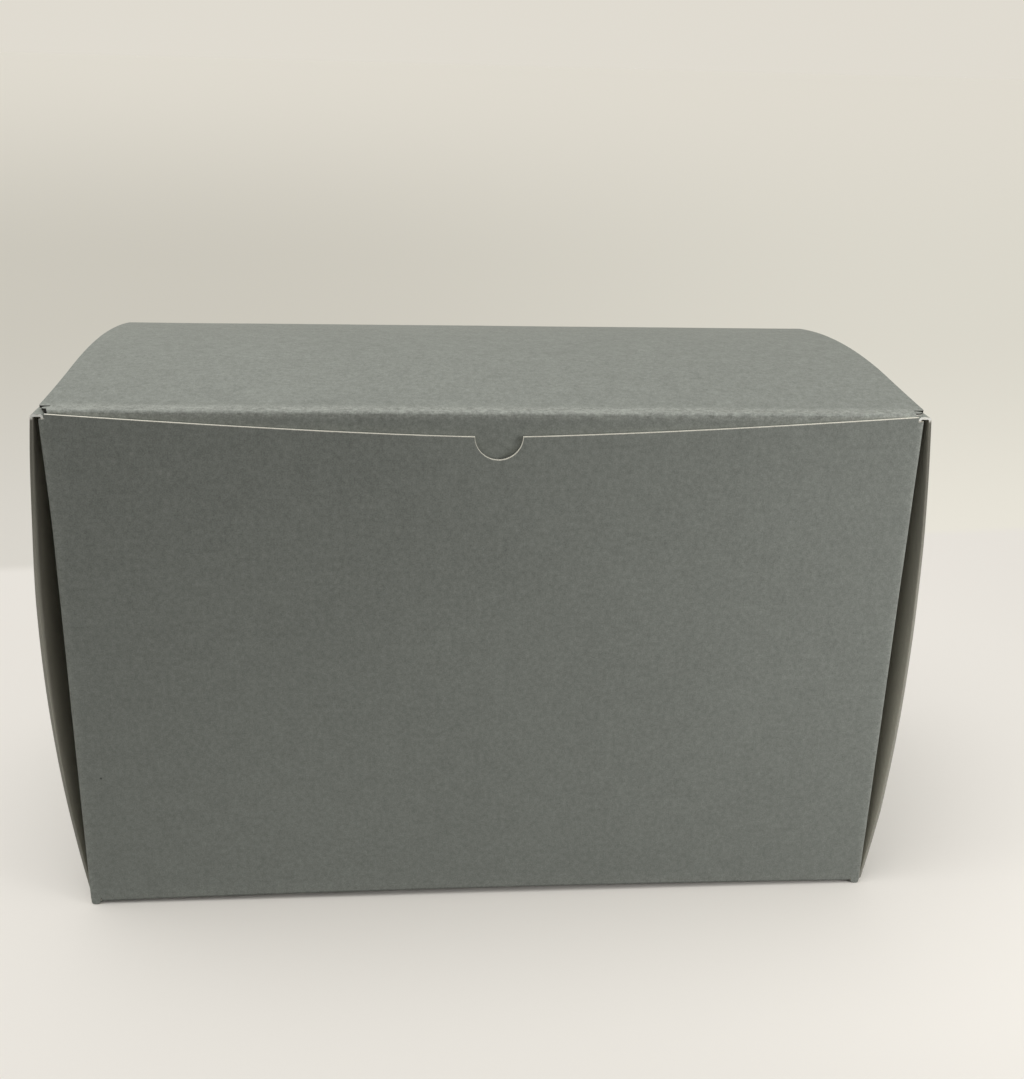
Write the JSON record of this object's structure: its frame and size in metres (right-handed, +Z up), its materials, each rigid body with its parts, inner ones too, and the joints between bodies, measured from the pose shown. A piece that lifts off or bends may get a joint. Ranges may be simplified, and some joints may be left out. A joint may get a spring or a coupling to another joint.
{
  "type": "archive box",
  "caption": "Folding archive box of solid grey board, with bowed roll-over side walls, a hinged lid and a tuck flap behind a scooped front.",
  "frame": {"origin": "centre of the footprint, on the surface that the box stands on", "axes": "+Z up, the scooped front panel faces -Y, +X to the right as seen from the front"},
  "size_m": [0.4196, 0.2, 0.2655],
  "materials": {
    "board": "matte"
  },
  "bodies": {
    "carcass": {"base_panel": "board", "front_panel": "board", "back_panel": "board", "front_left_corner_tab": "board", "front_right_corner_tab": "board", "back_left_corner_tab": "board", "back_right_corner_tab": "board", "left_outer_wall": "board", "left_ridge": "board", "left_inner_wall": "board", "right_outer_wall": "board", "right_ridge": "board", "right_inner_wall": "board", "lid_crease": "board"},
    "lid": {"lid_panel": "board", "tuck_crease": "board"},
    "flap": {"tuck_flap": "board"}
  },
  "joints": [
    {"name": "lid_hinge", "type": "hinge", "parent": "carcass", "child": "lid", "pos_m": [0, 0.0994, 0.2569], "axis": [-1, 0, 0], "range_deg": [0, 180]},
    {"name": "tuck_fold", "type": "hinge", "parent": "lid", "child": "flap", "pos_m": [0, -0.0971, 0.2563], "axis": [1, 0, 0], "range_deg": [0, 85]}
  ]
}
